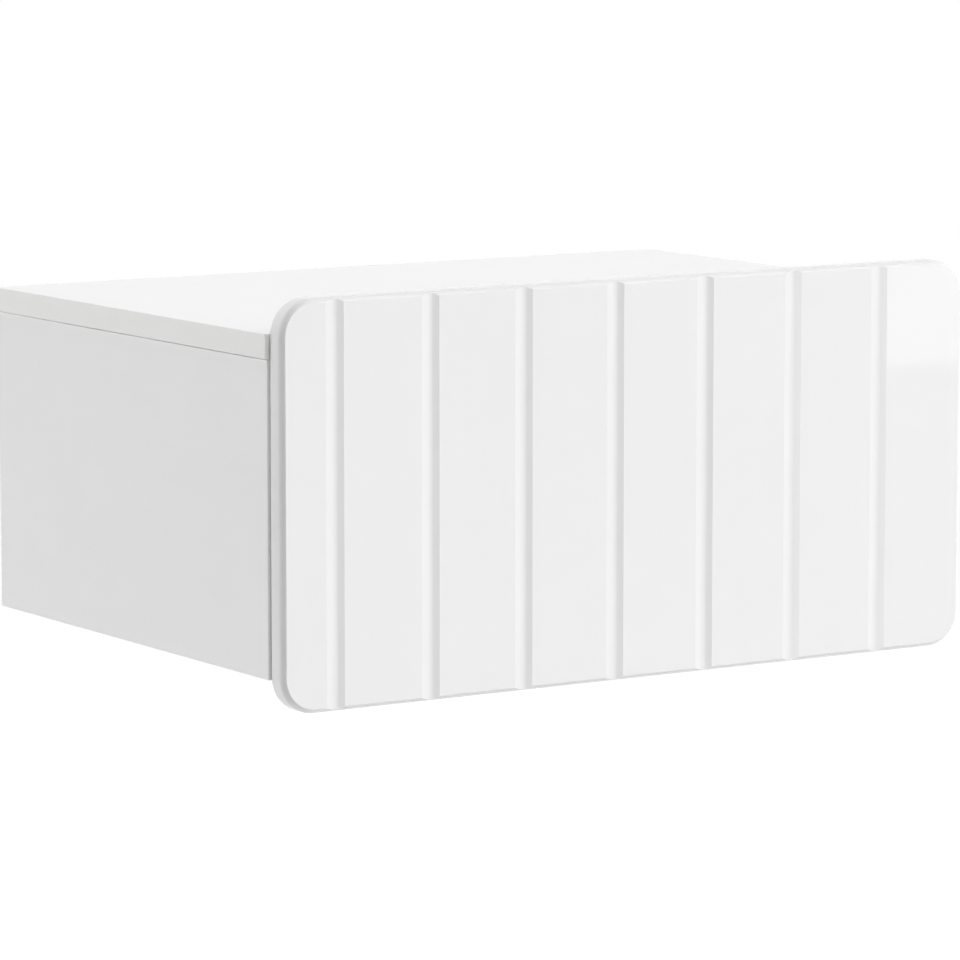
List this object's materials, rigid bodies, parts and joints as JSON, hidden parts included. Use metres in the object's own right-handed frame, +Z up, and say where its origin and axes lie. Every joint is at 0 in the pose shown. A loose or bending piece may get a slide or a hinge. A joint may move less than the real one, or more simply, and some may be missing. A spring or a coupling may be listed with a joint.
{
  "type": "floating nightstand",
  "caption": "Wall-hung nightstand with a drawer behind a tall gloss white front that has rounded corners and upright V-grooves; the front stands above the top and hangs below the sides.",
  "frame": {"origin": "on the wall plane, at mid-width and mid-thickness of the top panel's rear edge", "axes": "+X to the right seen from the front, +Y into the wall, +Z up; the drawer opens along -Y"},
  "size_m": [0.606, 0.4245, 0.296],
  "materials": {
    "melamine_board": "satin white melamine on particle board, edges banded",
    "gloss_lacquered_mdf": "high-gloss white lacquer on MDF",
    "painted_fibreboard": "thin fibreboard, painted white",
    "zinc_plated_steel": "bright zinc plating",
    "die_cast_zinc": "dull die-cast zinc",
    "beech": "bare turned beech",
    "white_plastic": "moulded, satin",
    "black_plastic": "moulded, satin",
    "clear_silicone": "soft clear dots"
  },
  "bodies": {
    "carcass": {"top_panel": "melamine_board", "bottom_panel": "melamine_board", "left_side_panel": "melamine_board", "right_side_panel": "melamine_board", "rear_rail": "melamine_board", "back_panel": "painted_fibreboard", "cam_top_left_front": "die_cast_zinc", "cam_top_left_rear": "die_cast_zinc", "cam_top_right_front": "die_cast_zinc", "cam_top_right_rear": "die_cast_zinc", "cam_bottom_left_front": "die_cast_zinc", "cam_bottom_left_rear": "die_cast_zinc", "cam_bottom_right_front": "die_cast_zinc", "cam_bottom_right_rear": "die_cast_zinc", "cam_bolt_top_left_front": "zinc_plated_steel", "cam_bolt_top_left_rear": "zinc_plated_steel", "cam_bolt_top_right_front": "zinc_plated_steel", "cam_bolt_top_right_rear": "zinc_plated_steel", "cam_bolt_bottom_left_front": "zinc_plated_steel", "cam_bolt_bottom_left_rear": "zinc_plated_steel", "cam_bolt_bottom_right_front": "zinc_plated_steel", "cam_bolt_bottom_right_rear": "zinc_plated_steel", "dowel_top_left": "beech", "dowel_top_right": "beech", "dowel_bottom_left": "beech", "dowel_bottom_right": "beech", "hanger_housing_left": "white_plastic", "hanger_housing_right": "white_plastic", "hanger_hook_left": "zinc_plated_steel", "hanger_hook_right": "zinc_plated_steel", "wall_plate_left": "zinc_plated_steel", "wall_plate_right": "zinc_plated_steel", "runner_cabinet_member_left": "zinc_plated_steel", "runner_cabinet_member_right": "zinc_plated_steel"},
    "drawer": {"drawer_front": "gloss_lacquered_mdf", "drawer_back": "melamine_board", "drawer_bottom": "painted_fibreboard", "drawer_side_left": "melamine_board", "drawer_side_right": "melamine_board", "cam_front_left_upper": "die_cast_zinc", "cam_front_left_lower": "die_cast_zinc", "cam_front_right_upper": "die_cast_zinc", "cam_front_right_lower": "die_cast_zinc", "cam_bolt_front_left_upper": "zinc_plated_steel", "cam_bolt_front_left_lower": "zinc_plated_steel", "cam_bolt_front_right_upper": "zinc_plated_steel", "cam_bolt_front_right_lower": "zinc_plated_steel", "bumper_left": "clear_silicone", "bumper_right": "clear_silicone", "runner_drawer_member_left": "zinc_plated_steel", "runner_drawer_member_right": "zinc_plated_steel", "release_lever_left": "black_plastic", "release_lever_right": "black_plastic"},
    "middle_runner_left": {"runner_middle_member_left": "zinc_plated_steel"},
    "middle_runner_right": {"runner_middle_member_right": "zinc_plated_steel"},
    "outer_cage_left": {"outer_ball_cage_left": "zinc_plated_steel"},
    "outer_cage_right": {"outer_ball_cage_right": "zinc_plated_steel"},
    "inner_cage_left": {"inner_ball_cage_left": "zinc_plated_steel"},
    "inner_cage_right": {"inner_ball_cage_right": "zinc_plated_steel"}
  },
  "joints": [
    {"name": "drawer_slide", "type": "slide", "parent": "carcass", "child": "drawer", "axis": [0, -1, 0], "range_m": [0, 0.35]},
    {"name": "middle_runner_slide_left", "type": "slide", "parent": "carcass", "child": "middle_runner_left", "axis": [0, -1, 0], "range_m": [0, 0.175]},
    {"name": "middle_runner_slide_right", "type": "slide", "parent": "carcass", "child": "middle_runner_right", "axis": [0, -1, 0], "range_m": [0, 0.175]},
    {"name": "outer_cage_slide_left", "type": "slide", "parent": "carcass", "child": "outer_cage_left", "axis": [0, -1, 0], "range_m": [0, 0.0875]},
    {"name": "outer_cage_slide_right", "type": "slide", "parent": "carcass", "child": "outer_cage_right", "axis": [0, -1, 0], "range_m": [0, 0.0875]},
    {"name": "inner_cage_slide_left", "type": "slide", "parent": "carcass", "child": "inner_cage_left", "axis": [0, -1, 0], "range_m": [0, 0.2625]},
    {"name": "inner_cage_slide_right", "type": "slide", "parent": "carcass", "child": "inner_cage_right", "axis": [0, -1, 0], "range_m": [0, 0.2625]}
  ],
  "couplings": [
    {"joint": "middle_runner_slide_left", "follows": "drawer_slide", "ratio": 0.5},
    {"joint": "middle_runner_slide_right", "follows": "drawer_slide", "ratio": 0.5},
    {"joint": "outer_cage_slide_left", "follows": "drawer_slide", "ratio": 0.25},
    {"joint": "outer_cage_slide_right", "follows": "drawer_slide", "ratio": 0.25},
    {"joint": "inner_cage_slide_left", "follows": "drawer_slide", "ratio": 0.75},
    {"joint": "inner_cage_slide_right", "follows": "drawer_slide", "ratio": 0.75}
  ]
}
